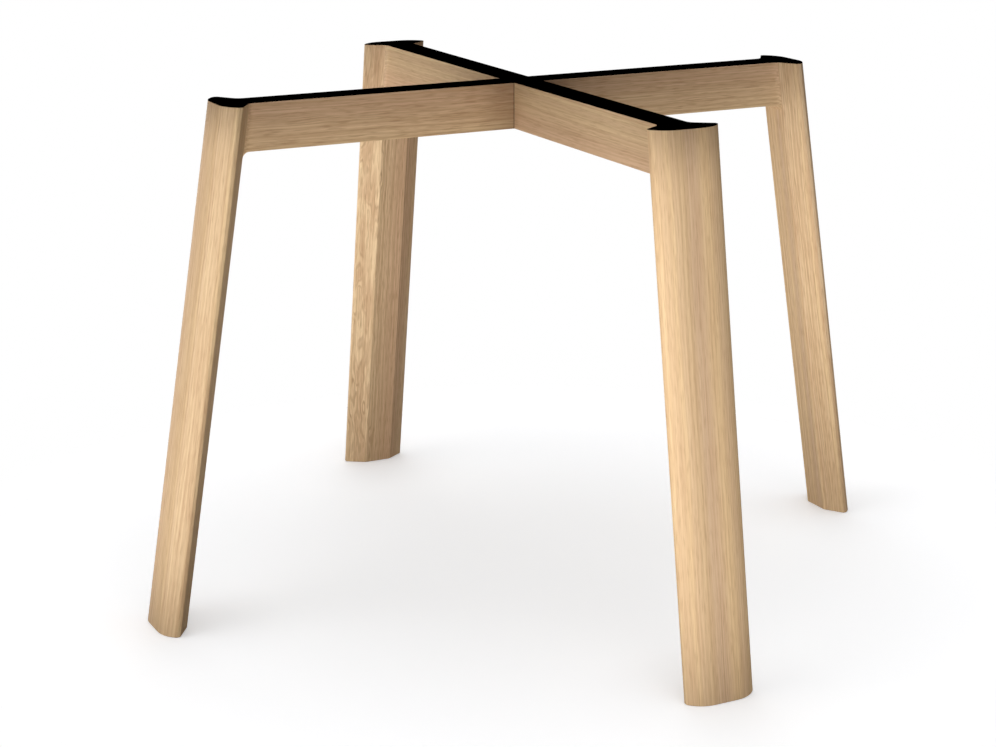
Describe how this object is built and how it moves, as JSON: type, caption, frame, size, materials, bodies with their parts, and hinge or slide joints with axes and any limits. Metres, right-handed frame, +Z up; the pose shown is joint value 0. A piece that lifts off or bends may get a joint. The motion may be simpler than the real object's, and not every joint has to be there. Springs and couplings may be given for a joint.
{
  "type": "table frame",
  "caption": "Oak cross frame for a table: rails halved over each other, with splayed lens-section legs blended into their ends and black liners on the top faces.",
  "frame": {"origin": "on the floor, straight below the crossing of the two rails", "axes": "+Z up; +X along the right arm of the cross; +Y along the back arm"},
  "size_m": [1.1396, 1.1396, 0.72],
  "materials": {
    "oak": "clear matt oil",
    "beech": "bare, glued",
    "black_liner": "matt"
  },
  "bodies": {
    "root": {"right_leg": "oak", "right_liner": "black_liner", "right_upper_tenon": "beech", "right_lower_tenon": "beech", "back_leg": "oak", "back_liner": "black_liner", "back_upper_tenon": "beech", "back_lower_tenon": "beech", "left_leg": "oak", "left_liner": "black_liner", "left_upper_tenon": "beech", "left_lower_tenon": "beech", "front_leg": "oak", "front_liner": "black_liner", "front_upper_tenon": "beech", "front_lower_tenon": "beech", "left_right_rail": "oak", "front_back_rail": "oak"}
  },
  "joints": []
}
